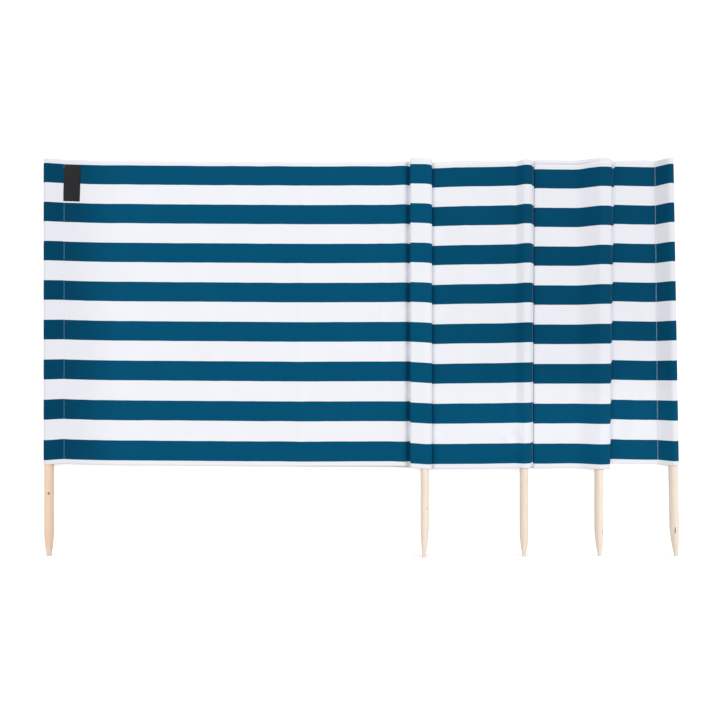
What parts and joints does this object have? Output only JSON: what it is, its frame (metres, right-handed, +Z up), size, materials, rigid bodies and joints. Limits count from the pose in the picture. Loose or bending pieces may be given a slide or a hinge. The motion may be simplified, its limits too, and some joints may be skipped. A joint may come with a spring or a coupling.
{
  "type": "beach windbreak",
  "caption": "Striped cloth beach windbreak on pointed wooden poles in sewn sleeves, its first bay spread and the others gathered.",
  "frame": {"origin": "middle of the first pole's blunt foot", "axes": "+Z up along the poles, +X from the first pole to the last, the front faces -Y"},
  "size_m": [1.6669, 0.0378, 1.038],
  "materials": {
    "pole_wood": "bare sanded softwood",
    "striped_cloth": "plain woven polyester, deep blue and white stripes",
    "label_cloth": "woven black tab, bare"
  },
  "bodies": {
    "root": {"pole_1": "pole_wood", "pole_2": "pole_wood", "pole_3": "pole_wood", "pole_4": "pole_wood", "pole_5": "pole_wood", "sleeve_1": "striped_cloth", "sleeve_2": "striped_cloth", "sleeve_3": "striped_cloth", "sleeve_4": "striped_cloth", "sleeve_5": "striped_cloth", "bay_1_panel": "striped_cloth", "bay_2_inner_leaf": "striped_cloth", "bay_2_fold": "striped_cloth", "bay_2_outer_leaf": "striped_cloth", "bay_3_inner_leaf": "striped_cloth", "bay_3_fold": "striped_cloth", "bay_3_outer_leaf": "striped_cloth", "bay_4_inner_leaf": "striped_cloth", "bay_4_fold": "striped_cloth", "bay_4_outer_leaf": "striped_cloth", "label_tab": "label_cloth"}
  },
  "joints": []
}
